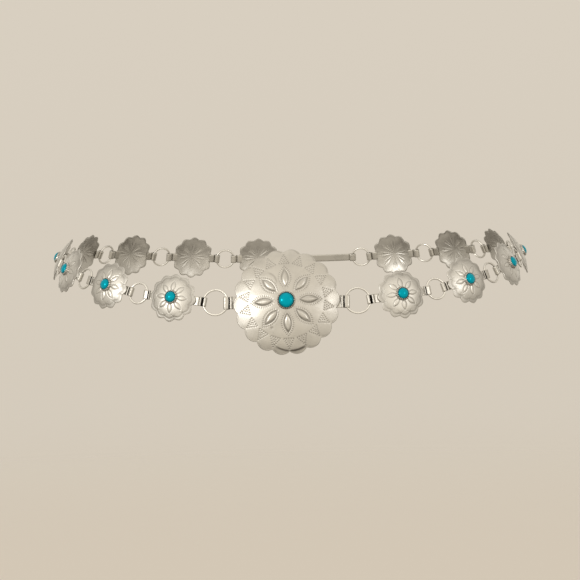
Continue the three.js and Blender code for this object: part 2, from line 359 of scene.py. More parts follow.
petal_shares = np.linspace(-1, 1, 81)
petal_marks = punch_marks(
    np.column_stack([
        big_petal_middle + mark_line_shift
        + (big_petal_half_length + mark_line_past_tip) * petal_shares,
        (big_petal_half_width + mark_line_past_side) * (1 - petal_shares**2),
    ]),
    pitch=1.2,
)
triangle_corners = np.array([
    [triangle_base, 0.0],
    [triangle_base, triangle_half_width],
    [triangle_tip, 0.0],
])
triangle_outline = np.vstack([
    punch_marks(triangle_corners[:2], pitch=1.4),
    punch_marks(triangle_corners[1:], pitch=1.25),
])
triangle_filling = np.array([
    [triangle_base + 1.2, 0.55, 1, 0.3],
    [triangle_base + 2.3, 0.0, 1, 0.0],
])


def beside_arc(x, y, middle, radius, start, finish, fade):
    """Distance outside an arc, and a share that fades in and out between its ends, which are
    angles in degrees."""
    x, y = x - middle[0], y - middle[1]
    turn = np.degrees(np.arctan2(y, x))
    return np.hypot(x, y) - radius, eased((turn - start) / fade) * eased((finish - turn) / fade)


def dents(x, y):
    """Height and painted shade of three dents: a fold along a flat arc, below which the bottom
    lobes are bent back, a soft step that dies out beyond an arc at the upper left, and a round
    dimple."""
    outside, lower = beside_arc(
        x, y, middle=(2.0, -13.6), radius=15.0, start=-128, finish=-48, fade=16
    )
    fold = -fold_depth * eased(outside / 1.1) * lower
    half_width = 0.38 + 0.25 * eased((x - 1.0) / 5)
    between_lobes = bell(x - 1.4, 0.6)
    # Painted shade along the fold, as dark crescents on the bent-back lower lobes.
    fold_shade = bell(outside - 0.5, half_width) * lower * (0.85 - 0.65 * between_lobes)
    outside, upper = beside_arc(
        x, y, middle=(-12.0, 10.5), radius=6.4, start=-12, finish=90, fade=30
    )
    fading = np.exp(-np.clip(outside, 0, 9) / 3)
    step = -step_depth * eased((outside + 0.7) / 1.4) * fading * upper
    # Painted shade along the step's edge.
    step_shade = 0.22 * bell(outside, 0.55) * upper
    dimple = bell(np.hypot(x + 8.7, y + 16.0), 0.866)
    # The dimple is darkened too, as painted shade.
    painted_shade = np.maximum(np.maximum(fold_shade, step_shade), 0.35 * dimple)
    return fold + step - dimple_depth * dimple, painted_shade


def big_front(x, y, stamped=True):
    """Height, and tarnish with painted shade, of the large concho's front: the dome with the
    lobes' puffs and the petals raised on it, and the crease, the petals' grooves and the punch
    marks sunk in."""
    out = np.hypot(x, y)
    angle = np.arctan2(y, x) - big_stamp_turn
    height = dome(out, big_radius, big_sheet, big_dome_height, big_crease, big_swelling)

    along, across = in_sector(out, angle, big_lobes)
    height = height + puff_rise * (1 - (1 - puff(along, across)) ** 1.7)

    along, across = in_sector(out, angle - np.pi / big_lobes, big_lobes)
    crease = bell(along - big_crease, big_crease_half_width)
    crease = crease * eased(big_crease_half_length - across)
    height = height - big_crease_depth * crease
    marks = punched(along, across, triangle_outline, length=0.46, width=0.27)
    marks = np.maximum(marks, punched(along, across, triangle_filling, length=0.36, width=0.27))

    along, across = in_sector(out, angle, big_petals)
    share, outside = petal(
        along, across, big_petal_middle, big_petal_half_length, big_petal_half_width
    )
    flank = np.clip(1 + outside / big_petal_flank, 0, 1)
    groove = bell(outside - 0.12, big_groove_half_width)
    height = height + big_petal_rise * (1 - flank**2) - big_groove_depth * groove
    marks = np.maximum(marks, punched(along, across, petal_marks, length=0.48, width=0.24))

    # Patina darkens the petals' grooves; painted shade makes them darker on their lower side and
    # at their inner ends. A painted dark line runs along the rim, and the crease is a little
    # darker.
    low_side_shade = np.clip(0.5 - 0.5 * np.sin(angle), 0, 1) * np.clip(1.4 - 1.2 * share, 0, 1)
    rim_shade = bell(big_rim(angle) - out, 0.4)
    tarnish_and_shade = np.maximum(0.12 * crease, (0.22 + 0.4 * low_side_shade) * groove) + 0.27 * rim_shade
    if stamped:
        bent, painted_shade = dents(x, y)
        uneven = unevenness(x, y, phase=0.4, wave=14, height=big_unevenness)
        height = height - punch_depth * marks + uneven + bent
        # The punch marks hold patina; the dents add their painted shade.
        tarnish_and_shade = np.maximum(np.maximum(tarnish_and_shade, 0.55 * marks), painted_shade)
    return height, tarnish_and_shade


def plate_shell(radius, sheet, rim, front, rows, back_rows, columns):
    """A domed plate. Rows of points lie at the given distances from the middle and are drawn
    in towards the rim's outline from three quarters of the way out. The edge is half a
    circle of the sheet's thickness, and the back is the front's form without its marks."""
    angles = np.linspace(0, 2 * np.pi, columns, endpoint=False)
    edge = rim(angles)
    reach = radius - sheet / 2

    def spread(distances):
        """Distances drawn in towards the rim's outline, for every angle."""
        inset = eased((distances - 0.75 * radius) / (reach - 0.75 * radius))
        return distances[:, None] + inset[:, None] * (edge - radius)

    def laid(distances, heights):
        return np.stack([distances * np.cos(angles), distances * np.sin(angles), heights], axis=-1)

    front_out = spread(rows)
    front_height, front_tarnish_and_shade = front(front_out * np.cos(angles), front_out * np.sin(angles))
    bends = np.radians([60, 30, 0, -30, -60])[:, None]
    edge_out = front_out[-1] + sheet / 2 * np.cos(bends)
    edge_height = front_height[-1] - sheet / 2 + sheet / 2 * np.sin(bends)
    back_out = spread(back_rows)
    back_height, _ = front(back_out * np.cos(angles), back_out * np.sin(angles), False)
    grid = np.concatenate([
        laid(front_out, front_height),
        laid(edge_out, edge_height),
        laid(back_out, back_height - sheet),
    ])
    # Painted shade: the edge darkens towards its outer half and the back is evenly darker.
    bend_shade = [0.0, 0.1, 0.45, 0.65, 0.6]
    back_shade = 0.25
    tarnish_and_shade = np.concatenate([
        front_tarnish_and_shade.ravel(),
        np.repeat(bend_shade, columns),
        np.full(back_out.size, back_shade),
        [0.0, back_shade],
    ])
    peak = front(np.zeros(1), np.zeros(1), False)[0][0]
    return *grid_shell(grid, [0, 0, peak], [0, 0, peak - sheet]), tarnish_and_shade


def mixed(tree, share, first, second, blend="MIX"):
    """A colour between two by a share, or with a share of the second added to the first. Each
    colour is a socket or three numbers."""
    node = tree.nodes.new("ShaderNodeMix")
    node.data_type = "RGBA"
    node.blend_type = blend
    tree.links.new(share, node.inputs[0])
    for socket, colour in ((node.inputs[6], first), (node.inputs[7], second)):
        if isinstance(colour, tuple):
            socket.default_value = (*colour, 1)
        else:
            tree.links.new(colour, socket)
    return node.outputs[2]


def silver(name, fresh, dark, base_roughness, scratch_depth):
    """Satin silver-tone metal. Its node group clouds it, darkens it by the mesh's share of
    tarnish and painted shade, and roughens it with fine scratches."""
    material = bpy.data.materials.new(name)
    material.use_nodes = True
    nodes, links = material.node_tree.nodes, material.node_tree.links
    shader = nodes["Principled BSDF"]
    shader.inputs["Metallic"].default_value = 1.0
    tarnish_and_shade = nodes.new("ShaderNodeAttribute")
    tarnish_and_shade.attribute_name = "tarnish_and_shade"
    wear_and_shade = nodes.new("ShaderNodeGroup")
    wear_and_shade.node_tree = silver_wear_and_shade
    wear_and_shade.inputs["Fresh"].default_value = (*fresh, 1)
    wear_and_shade.inputs["Dark"].default_value = (*dark, 1)
    wear_and_shade.inputs["Base roughness"].default_value = base_roughness
    links.new(tarnish_and_shade.outputs["Fac"], wear_and_shade.inputs["Tarnish and shade"])
    bump = nodes.new("ShaderNodeBump")
    bump.inputs["Strength"].default_value = scratch_depth
    bump.inputs["Distance"].default_value = 0.0002
    links.new(wear_and_shade.outputs["Colour"], shader.inputs["Base Color"])
    links.new(wear_and_shade.outputs["Roughness"], shader.inputs["Roughness"])
    links.new(wear_and_shade.outputs["Height"], bump.inputs["Height"])
    links.new(bump.outputs["Normal"], shader.inputs["Normal"])
    return material


def silver_wear_and_shade_group():
    """Node group: clouds and scratches from noise on Object coordinates, mixed with the
    mesh's share of tarnish and painted shade into a colour, a roughness and a height."""
    group = bpy.data.node_groups.new("silver_wear_and_shade", "ShaderNodeTree")
    sockets = group.interface
    for socket, kind, value in [
        ("Fresh", "NodeSocketColor", (0.8, 0.8, 0.8, 1)),
        ("Dark", "NodeSocketColor", (0.1, 0.1, 0.1, 1)),
        ("Base roughness", "NodeSocketFloat", 0.25),
        ("Tarnish and shade", "NodeSocketFloat", 0.0),
    ]:
        made = sockets.new_socket(socket, in_out="INPUT", socket_type=kind)
        made.default_value = value
    sockets.new_socket("Colour", in_out="OUTPUT", socket_type="NodeSocketColor")
    sockets.new_socket("Roughness", in_out="OUTPUT", socket_type="NodeSocketFloat")
    sockets.new_socket("Height", in_out="OUTPUT", socket_type="NodeSocketFloat")
    nodes, links = group.nodes, group.links
    given = nodes.new("NodeGroupInput")
    result = nodes.new("NodeGroupOutput")
    place = nodes.new("ShaderNodeTexCoord")

    def noise(scale, detail, stretch=(1, 1, 1)):
        """Noise that a stretch above 1 makes finer along an axis, on axes turned askew."""
        mapping = nodes.new("ShaderNodeMapping")
        mapping.inputs["Scale"].default_value = stretch
        mapping.inputs["Rotation"].default_value = (0.5, 0.9, 0.3)
        texture = nodes.new("ShaderNodeTexNoise")
        texture.inputs["Scale"].default_value = scale
        texture.inputs["Detail"].default_value = detail
        links.new(place.outputs["Object"], mapping.inputs["Vector"])
        links.new(mapping.outputs["Vector"], texture.inputs["Vector"])
        return texture.outputs["Fac"]

    def ranged(value, low, high, to_low, to_high):
        """A value between low and high, carried to between to_low and to_high."""
        node = nodes.new("ShaderNodeMapRange")
        node.inputs["From Min"].default_value = low
        node.inputs["From Max"].default_value = high
        node.inputs["To Min"].default_value = to_low
        node.inputs["To Max"].default_value = to_high
        links.new(value, node.inputs["Value"])
        return node.outputs["Result"]

    def added(first, second):
        node = nodes.new("ShaderNodeMath")
        node.operation = "ADD"
        links.new(first, node.inputs[0])
        links.new(second, node.inputs[1])
        return node.outputs["Value"]

    clouds = noise(110, 4)
    grain = noise(2600, 3)
    scratches = noise(420, 5, (1, 9, 3))
    cloud_dark = ranged(clouds, 0.45, 0.75, 0.0, 0.14)
    scratch_dark = ranged(scratches, 0.62, 0.74, 0.0, 0.10)
    dark_share = added(added(cloud_dark, scratch_dark), given.outputs["Tarnish and shade"])
    colour = mixed(group, dark_share, given.outputs["Fresh"], given.outputs["Dark"])
    links.new(colour, result.inputs["Colour"])
    rough = added(given.outputs["Base roughness"], ranged(clouds, 0.3, 0.7, -0.03, 0.05))
    rough = added(rough, ranged(given.outputs["Tarnish and shade"], 0.0, 1.0, 0.0, 0.25))
    rough = added(rough, ranged(scratches, 0.55, 0.75, 0.0, 0.08))
    links.new(rough, result.inputs["Roughness"])
    links.new(added(scratches, grain), result.inputs["Height"])
    return group


silver_wear_and_shade = silver_wear_and_shade_group()
plate_silver = silver("plate_silver", (0.68, 0.66, 0.622), (0.09, 0.075, 0.06), 0.34, 0.10)

# Rows lie closer where the petals and the punch marks are.
big_rows = np.concatenate([
    np.linspace(0.7, 8.0, 9),
    np.linspace(8.25, 20.9, 50),
    np.linspace(21.1, 28.0, 30),
    np.linspace(28.3, big_radius - big_sheet / 2, 10),
])
big_back_rows = np.concatenate([np.linspace(31.0, 20.0, 8), np.linspace(18.0, 1.0, 8)])
big_shell = plate_shell(
    big_radius, big_sheet, big_rim, big_front, big_rows, big_back_rows, big_columns
)
big_plate = new_piece("big_plate", big_shell, frames["big"], plate_silver)
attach(big_plate, "root")
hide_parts("big_concho")


# The stones: round turquoise cabochons, polished, with a straight edge and a low dome, each
# held by a bezel. The bezel is a collar of thin strip soldered to the plate, its upper edge
# cut into teeth that are pressed in over the stone.
big_stone_radius = 4.7
big_stone_height = 2.7
small_stone_radius = 3.45
small_stone_height = 2.3
stone_columns = 48
tooth_columns = 10
big_teeth = 28
small_teeth = 20
tooth_height = 0.5
tooth_lean = 0.18
bezel_lip = 0.72
bezel_foot_out = 0.8
stone_deep = (0.0, 0.30, 0.43, 1)
stone_light = (0.0, 0.335, 0.47, 1)
vein_colour = (0.0, 0.21, 0.29)
# Colour of the painted shade at a stone's foot.
foot_shade_colour = (0.0, 0.07, 0.09)


def stone_shell(dome_height, radius, height):
    """A cabochon: a flat back, a short edge, and a dome whose section is half an ellipse. Its
    share of painted shade grows from a fifth of the way down to its foot, by the bezel."""
    base = dome_height + stone_gap
    edge = 0.05
    inwards = np.sin(np.linspace(0, np.pi / 2, 13)[1:-1])
    rise = np.sqrt(1 - (1 - inwards) ** 2)
    out = np.concatenate([[0.9, 0.98, 1.0, 0.998], 1 - inwards]) * radius
    up = np.concatenate([[0.0, 0.005, 0.02, edge], edge + (1 - edge) * rise]) * height + base
    angles = np.linspace(0, 2 * np.pi, stone_columns, endpoint=False)
    grid = np.stack([
        out[:, None] * np.cos(angles),
        out[:, None] * np.sin(angles),
        np.repeat(up[:, None], stone_columns, axis=1),
    ], axis=-1)
    shell = grid_shell(grid, [0, 0, base], [0, 0, base + height])
    depth = 1 - (shell[0][:, 2] - base) / height
    return *shell, eased((depth - 0.2) / 0.62)


def bezel_shell(dome_height, stone_radius, foot_height, teeth):
    """A collar round the stone, as a closed section carried round the axis. Its lip rises and
    falls with the teeth and leans in towards the stone. Each point of the section has its
    distance outside the stone, its height or else its height from the lip, its painted shade,
    and the painted shade that is added to that between the teeth."""
    angles = np.linspace(0, 2 * np.pi, teeth * tooth_columns, endpoint=False)
    tooth = 1 - np.abs(folded(angles * teeth / (2 * np.pi), 1.0)) * 2
    tooth = eased(tooth * 1.6)
    lip = dome_height + bezel_lip + tooth_height * tooth
    # Painted shade darkens the bezel's foot, its wall against the stone and the gaps between the
    # teeth.
    section = [
        (0.95, foot_height - 0.25, None, 0.5, 0.3),
        (0.72, foot_height + 0.06, None, 0.4, 0.4),
        (0.56, foot_height + 0.30, None, 0.15, 0.6),
        (0.50, dome_height + 0.45, None, 0.1, 0.8),
        (0.42, None, -0.12, 0.0, 0.8),
        (0.26, None, 0.0, 0.0, 0.7),
        (0.12, None, -0.08, 0.3, 0.6),
        (0.16, dome_height + 0.35, None, 0.9, 0.1),
        (0.18, dome_height - 0.5, None, 1.0, 0.0),
    ]
    rows = []
    tarnish_and_shade = []
    for beyond_stone, fixed_height, from_lip, wall_shade, between in section:
        reach = np.full(len(angles), stone_radius + beyond_stone)
        height = np.full(len(angles), fixed_height) if from_lip is None else lip + from_lip
        if from_lip is not None:
            reach = reach - tooth_lean * tooth
        rows.append(np.stack([reach * np.cos(angles), reach * np.sin(angles), height], axis=-1))
        tarnish_and_shade.append(wall_shade + between * (1 - tooth) ** 2)
    return *grid_shell(np.array(rows)), np.clip(tarnish_and_shade, 0, 1).ravel()


def turquoise_material():
    """Polished turquoise: a teal body, faintly clouded, with a few thin darker veins and painted
    shade round its foot."""
    material = bpy.data.materials.new("turquoise_stone")
    material.use_nodes = True
    tree = material.node_tree
    nodes, links = tree.nodes, tree.links
    shader = nodes["Principled BSDF"]
    shader.inputs["Roughness"].default_value = 0.16
    shader.inputs["IOR"].default_value = 2.2
    shader.inputs["Specular Tint"].default_value = (0.02, 0.8, 1, 1)
    place = nodes.new("ShaderNodeTexCoord")
    clouds = nodes.new("ShaderNodeTexNoise")
    clouds.inputs["Scale"].default_value = 420
    clouds.inputs["Detail"].default_value = 4
    body = nodes.new("ShaderNodeValToRGB")
    body.color_ramp.elements[0].position = 0.3
    body.color_ramp.elements[0].color = stone_deep
    body.color_ramp.elements[1].position = 0.7
    body.color_ramp.elements[1].color = stone_light
    cracks = nodes.new("ShaderNodeTexVoronoi")
    cracks.feature = "DISTANCE_TO_EDGE"
    cracks.inputs["Scale"].default_value = 260
    veins = nodes.new("ShaderNodeMapRange")
    veins.inputs["From Max"].default_value = 0.035
    veins.inputs["To Min"].default_value = 0.22
    veins.inputs["To Max"].default_value = 0.0
    painted_shade = nodes.new("ShaderNodeAttribute")
    painted_shade.attribute_name = "tarnish_and_shade"
    links.new(place.outputs["Object"], clouds.inputs["Vector"])
    links.new(place.outputs["Object"], cracks.inputs["Vector"])
    links.new(clouds.outputs["Fac"], body.inputs["Fac"])
    links.new(cracks.outputs["Distance"], veins.inputs["Value"])
    veined = mixed(tree, veins.outputs["Result"], body.outputs["Color"], vein_colour)
    # Painted shade darkens the stone towards its foot, beside the bezel.
    colour = mixed(tree, painted_shade.outputs["Fac"], veined, foot_shade_colour)
    links.new(colour, shader.inputs["Base Color"])
    return material


def height_at_foot(front, stone_radius):
    """Height of a plate's front at the foot of its bezel."""
    return float(front(np.array([stone_radius + bezel_foot_out]), np.zeros(1), False)[0][0])


turquoise = turquoise_material()
bezel_silver = silver("bezel_silver", (0.76, 0.73, 0.68), (0.05, 0.045, 0.04), 0.22, 0.05)

big_foot = height_at_foot(big_front, big_stone_radius)
big_bezel_shell = bezel_shell(big_dome_height, big_stone_radius, big_foot, big_teeth)
big_bezel = new_piece("big_bezel", big_bezel_shell, frames["big"], bezel_silver)
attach(big_bezel, "root")

for concho in conchos:
    name = f"cabochon_{concho}"
    shell = stone_shell(small_dome_height, small_stone_radius, small_stone_height)
    if concho == "big":
        name = "big_cabochon"
        shell = stone_shell(big_dome_height, big_stone_radius, big_stone_height)
    cabochon = new_piece(name, shell, frames[concho], turquoise)
    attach(cabochon, "root")
    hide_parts(stone_node(concho))


# The small conchos: fifteen plates of silver-tone sheet, domed, each with twelve lobes, one of
# them over each strap. A hollow and a rounded bead follow the rim, eight petals are cut in as
# outlines round the stone, and a short chevron of punch marks is struck between the lobes.
small_radius = 14.6
small_sheet = 0.8
small_lobes = 12
small_lobe_arc = 4.1
small_notch = 1.45
small_columns = 288
small_swelling = 0.1
small_crease = 10.5
small_petals = 8
small_petal_middle = 6.65
small_petal_half_length = 3.1
small_petal_half_width = 1.38
small_petal_rise = 0.2
small_groove_depth = 0.18
small_groove_half_width = 0.22
bead_rise = 0.07
bead_inset = 0.55
bead_half_width = 0.42
hollow_depth = 0.10
hollow_inset = 1.75
hollow_half_width = 0.5
lobe_rise = 0.13
valley_depth = 0.1
valley_half_width = 0.35
chevron_depth = 0.14
small_unevenness = 0.045

small_chevron = punch_marks(np.array([[small_crease + 0.1, 1.2], [11.9, 0.0]]), pitch=0.8)


def small_rim(angles):
    """Distance of the rim from the middle: between round lobes and a plain wave."""
    arcs = lobed_rim(angles, small_radius, small_lobes, small_lobe_arc)
    wave = small_radius - small_notch * (1 - np.cos(small_lobes * angles)) / 2
    return 0.4 * arcs + 0.6 * wave


def small_front(x, y, stamped=True):
    """Height, and tarnish with painted shade, of a small concho's front: the dome, a border with
    a hollow and a bead along the rim, lobes that swell between valleys, and petals outlined by a
    groove."""
    out = np.hypot(x, y)
    angle = np.arctan2(y, x)
    height = dome(out, small_radius, small_sheet, small_dome_height, small_crease, small_swelling)

    inside = 0.75 * small_rim(angle) + 0.25 * (small_radius - 0.7) - out
    bead = bell(inside - bead_inset, bead_half_width)
    hollow = bell(inside - hollow_inset, hollow_half_width)
    swelling = np.cos(small_lobes * angle) * eased((out - small_crease) / 3.4)
    height = height + bead_rise * bead - hollow_depth * hollow + lobe_rise * swelling

    along, across = in_sector(out, angle - np.pi / small_lobes, small_lobes)
    valley = bell(across, valley_half_width) * eased((out - 11.4) / 1.2)
    height = height - valley_depth * valley
    marks = punched(along, across, small_chevron, length=0.26, width=0.24)

    along, across = in_sector(out, angle, small_petals)
    share, outside = petal(
        along, across, small_petal_middle, small_petal_half_length, small_petal_half_width
    )
    groove = bell(outside, small_groove_half_width) * (np.abs(share) < 1.15)
    height = height - small_groove_depth * groove + small_petal_rise * eased(-outside / 1.1)

    # Patina darkens the petals' grooves. Painted shade darkens the face towards the rim, a line
    # along the rim, the hollow and the valleys.
    rim_shade = bell(small_rim(angle) - out, 0.38)
    outer = 0.04 + 0.27 * eased((out - 7.5) / 5.0) + 0.36 * rim_shade
    tarnish_and_shade = np.maximum(0.5 * groove, outer + 0.12 * hollow + 0.2 * valley)
    if stamped:
        height = height - chevron_depth * marks
        tarnish_and_shade = np.maximum(tarnish_and_shade, 0.45 * marks)
    return height, tarnish_and_shade


small_rows = np.concatenate([
    np.linspace(0.8, 3.8, 4),
    np.linspace(4.05, 9.9, 24),
    np.linspace(10.1, small_radius - small_sheet / 2, 19),
])
small_back_rows = np.concatenate([np.linspace(14.2, 9.0, 5), np.linspace(7.5, 1.0, 3)])

small_silver = silver("small_silver", (0.895, 0.882, 0.852), (0.12, 0.105, 0.085), 0.32, 0.08)
small_points, *small_faces_tarnish_and_shade = plate_shell(
    small_radius, small_sheet, small_rim, small_front, small_rows, small_back_rows, small_columns
)
small_foot = height_at_foot(small_front, small_stone_radius)
small_bezel_shell = bezel_shell(small_dome_height, small_stone_radius, small_foot, small_teeth)
for i, concho in enumerate(small_conchos):
    uneven = small_points.copy()
    uneven[:, 2] += unevenness(*small_points[:, :2].T, 1.3 * i, 9, small_unevenness)
    small_shell = uneven, *small_faces_tarnish_and_shade
    plate = new_piece(f"plate_{concho}", small_shell, frames[concho], small_silver)
    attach(plate, "root")
    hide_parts(f"small_concho_{concho}")
    bezel = new_piece(f"bezel_{concho}", small_bezel_shell, frames[concho], bezel_silver)
    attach(bezel, "root")


# The straps: strips of silver-tone sheet soldered under the rim at either side of each concho.
# Each rises to a low ridge, dips under the ring's wire and curls round it to a lip. The slot
# in front is open towards the large concho and shut on the other side of the small ones.
strap_sheet = 0.5
big_strap_width = 7.5
small_strap_width = 5.4
strap_under_plate = 3.0
wire_thickness = 1.3
wire_gap = 0.35
strap_sink = 0.1
ridge_rise = 0.75
# How dark the painted shade in the large concho's slots is.
big_slot_shade = 0.6


def cut_corners(points, rounds):
    """A path whose corners are rounded by cutting each at a quarter of its sides, in turn."""
    for _ in range(rounds):
        near = 0.75 * points[:-1] + 0.25 * points[1:]
        far = 0.25 * points[:-1] + 0.75 * points[1:]
        cut = np.stack([near, far], axis=1).reshape(-1, 2)
        points = np.vstack([points[:1], cut, points[-1:]])
    return points


def strip_shell(path, sheet, width, across=8):
    """A strip bent along a path in X and Z and as wide as said in Y. Its section, carried
    along the path, is a flat oval: two level sides and two half circles."""
    ahead = unit(np.gradient(path, axis=0))
    normal = np.column_stack([-ahead[:, 1], ahead[:, 0]])
    half = sheet / 2
    flat = width / 2 - half
    bend = np.linspace(-np.pi / 2, np.pi / 2, 5)
    level = np.linspace(flat, -flat, across + 1)[1:-1]
    side = np.concatenate([flat + half * np.cos(bend), level])
    depth = np.concatenate([half * np.sin(bend), np.full(len(level), half)])
    section_y = np.concatenate([side, -side])
    section_depth = np.concatenate([depth, -depth])
    grid = np.stack([
        path[:, :1] + normal[:, :1] * section_depth,
        np.repeat(section_y[None], len(path), axis=0),
        path[:, 1:] + normal[:, 1:] * section_depth,
    ], axis=-1)
    ends = [[path[i, 0], 0, path[i, 1]] for i in (0, -1)]
    return grid_shell(grid, *ends)


def wire_bow(ring_radius, width):
    """How far a ring's wire bows in towards the ring's middle over half of a strip's width."""
    return ring_radius - np.sqrt((ring_radius - wire_thickness / 2) ** 2 - (width / 2) ** 2)


def strap_shell(plate_radius, seat, ring_radius, width, ridge, slot, slot_shade=1.0):
    """A strap on the right-hand side of a concho. Its path goes out from under the plate, over
    a ridge, down and under the wire, and round it to a lip that leaves a slot open. Painted
    shade darkens the inside of the curl, round the wire, and the ridge's foot."""
    clear = wire_thickness / 2 + wire_gap + strap_sheet / 2
    near = seat - clear
    far = seat + wire_bow(ring_radius, width) + wire_gap + strap_sheet / 2
    path = [
        (plate_radius - strap_under_plate, -strap_sink),
        (near - ridge - 0.55, -strap_sink),
        (near - ridge - 0.1, ridge_rise),
        (near - 0.1, ridge_rise),
        (near + 0.05, -clear),
        (far, -clear),
        (far, clear),
        (near + strap_sheet / 2 + slot, clear),
    ]
    points, quads, triangles = strip_shell(cut_corners(np.array(path), 3), strap_sheet, width)
    # Painted shade inside the curl round the wire and at the ridge's foot.
    from_wire = np.hypot(points[:, 0] - seat, points[:, 2])
    beyond_near = points[:, 0] - near
    inner = eased((clear + 0.1 - from_wire) / 0.25) * eased((beyond_near + 0.2) / 0.3)
    foot = bell(beyond_near + ridge + 0.45, 0.28)
    return points, quads, triangles, np.maximum(slot_shade * inner, 0.55 * foot)


def turned_round(shell):
    """The same shell on the concho's other side: half a turn round its axis."""
    points, quads, triangles, tarnish_and_shade = shell
    return points * [-1, -1, 1], quads, triangles, tarnish_and_shade


strap_silver = silver("strap_silver", (0.68, 0.66, 0.62), (0.03, 0.025, 0.02), 0.33, 0.06)
big_strap = strap_shell(
    big_radius, big_seat, big_ring_radius, big_strap_width,
    ridge=0.9, slot=0.7, slot_shade=big_slot_shade,
)
open_strap = strap_shell(
    small_radius, small_seat, small_ring_radius, small_strap_width, ridge=0.6, slot=1.3
)
shut_strap = strap_shell(
    small_radius, small_seat, small_ring_radius, small_strap_width, ridge=0.3, slot=0.25
)
long_strap = strap_shell(
    small_radius, small_seat_by_big_ring, big_ring_radius, small_strap_width, ridge=0.9, slot=1.7
)
for concho in conchos:
    right_strap = left_strap = big_strap
    if concho in right_conchos:
        right_strap = shut_strap
        left_strap = long_strap if concho == "right_1" else open_strap
    if concho in left_conchos:
        left_strap = shut_strap
        right_strap = long_strap if concho == "left_1" else open_strap
    both = joined([right_strap, turned_round(left_strap)])
    straps = new_piece(f"straps_{concho}", both, frames[concho], strap_silver)
    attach(straps, "root")


# The rings: round silver-tone wire bent to a circle, its two ends butted together. Two large
# ones hold the large concho, and fifteen smaller ones and the hook join the rest.
ring_columns = 96
wire_columns = 14
joint_turn = np.radians(100)
joint_half_gap = 0.012
joint_share = 0.8353


def ring_shell(ring_radius):
    """A torus whose wire narrows to a hairline groove where its ends meet."""
    around = joint_turn + np.linspace(0, 2 * np.pi, ring_columns, endpoint=False)
    beside_joint = joint_turn + np.array([-joint_half_gap, joint_half_gap])
    around = np.sort(np.concatenate([around, beside_joint]))
    wire = wire_thickness / 2 * np.where(around == joint_turn, joint_share, 1.0)[:, None]
    section = np.linspace(0, 2 * np.pi, wire_columns, endpoint=False)
    out = ring_radius + wire * np.cos(section)
    grid = np.stack([
        out * np.cos(around)[:, None],
        out * np.sin(around)[:, None],
        np.broadcast_to(wire * np.sin(section), out.shape),
    ], axis=-1)
    return grid_shell(grid)


def wire_shade(points, left_width, right_width):
    """Painted shade on a ring's wire: dark where it lies in the straps at its two sides, whose
    widths are given, and darker along its inner and outer edges."""
    width = np.where(points[:, 0] < 0, left_width, right_width)
    slot_shade = np.where(width == big_strap_width, big_slot_shade, 1.0)
    in_strap = slot_shade * eased((width / 2 + 0.1 - np.abs(points[:, 1])) / 0.3)
    flank = 0.5 * eased((0.62 - np.abs(points[:, 2]) / (wire_thickness / 2)) / 0.5)
    return np.maximum(in_strap, flank)


seats = {"big": (big_seat, big_seat), "hook": (hook_seat, hook_seat)}
strap_widths = {"big": big_strap_width}
for concho in small_conchos:
    seats[concho] = (
        small_seat_by_big_ring if concho == "right_1" else small_seat,
        small_seat_by_big_ring if concho == "left_1" else small_seat,
    )
wire_silver = silver("wire_silver", (0.97, 0.95, 0.91), (0.03, 0.025, 0.02), 0.3, 0.04)
round_the_loop = ["big", *right_conchos, "hook", *left_conchos]
for i, piece in enumerate(round_the_loop):
    following = round_the_loop[(i + 1) % len(round_the_loop)]
    start = beyond(piece, seats[piece][1])
    finish = beyond(following, -seats[following][0])
    if "big" in (piece, following):
        node = "big_ring_right" if piece == "big" else "big_ring_left"
        ring_radius = big_ring_radius
    else:
        node = f"small_ring_{piece if piece in right_conchos else following}"
        ring_radius = small_ring_radius
    ring_frame = (start + finish) / 2, flat_against(unit(finish - start), piece, following)
    points, quads, triangles = ring_shell(ring_radius)
    widths = [strap_widths.get(side, small_strap_width) for side in (piece, following)]
    shell = points, quads, triangles, wire_shade(points, *widths)
    ring = new_piece(f"wire_{node}", shell, ring_frame, wire_silver)
    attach(ring, "root")
    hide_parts(node)


# The hook that closes the belt at the back: one plain strip, bent to a closed loop round the
# wire at its left end, and at its right end to a crook that is open towards the body.
hook_sheet = 0.9
hook_width = 5.0
hook_mouth = 1.4
hook_slope = 1.2
hook_tarnish = 0.08


def hook_shell():
    """The hook's strip, along a path that starts at the soldered end of its left loop."""
    high = wire_thickness / 2 + wire_gap + hook_sheet / 2
    near = hook_seat - high
    far = hook_seat + wire_bow(small_ring_radius, hook_width) + wire_gap + hook_sheet / 2
    path = [
        (-near + 0.2, -0.35),
        (-near - 0.1, -high),
        (-far, -high),
        (-far, high),
        (-near, high),
        (-near + hook_slope, 0.0),
        (near - hook_slope, 0.0),
        (near, high),
        (far, high),
        (far, -high),
        (near + hook_sheet + hook_mouth, -high),
    ]
    points, quads, triangles = strip_shell(cut_corners(np.array(path), 3), hook_sheet, hook_width)
    return points, quads, triangles, np.full(len(points), hook_tarnish)


hook = new_piece("hook_strip", hook_shell(), frames["hook"], strap_silver)
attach(hook, "root")
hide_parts("back_hook")


# The studio: a pale floor, and a pale surround that is brightest in front and overhead and has
# one dim band low down, which shades the undersides of the relief. A strong soft light to the
# left and a fainter one to the right whiten the domes' sides and make the stones' highlights.
camera_tones = [
    (-90, (0.64, 0.58, 0.49)),
    (-14, (0.655, 0.59, 0.495)),
    (14, (0.70, 0.635, 0.54)),
    (90, (0.76, 0.71, 0.63)),
]
surround_tones = [
    (-90, (0.52, 0.47, 0.39)),
    (-54, (0.50, 0.45, 0.37)),
    (-45, (0.10, 0.085, 0.065)),
    (-36, (0.12, 0.10, 0.075)),
    (-25, (0.55, 0.50, 0.41)),
    (4, (0.54, 0.495, 0.42)),
    (56, (0.56, 0.515, 0.44)),
    (72, (0.56, 0.52, 0.45)),
    (84, (0.95, 0.90, 0.82)),
]
light_colour = (1.0, 0.985, 0.96)
floor_colour = (0.84, 0.79, 0.735, 1)
floor_radius = 3.5
floor_height = -0.45
floor_corners = 64
floor_solid_to = 0.9
floor_gone_at = 3.4


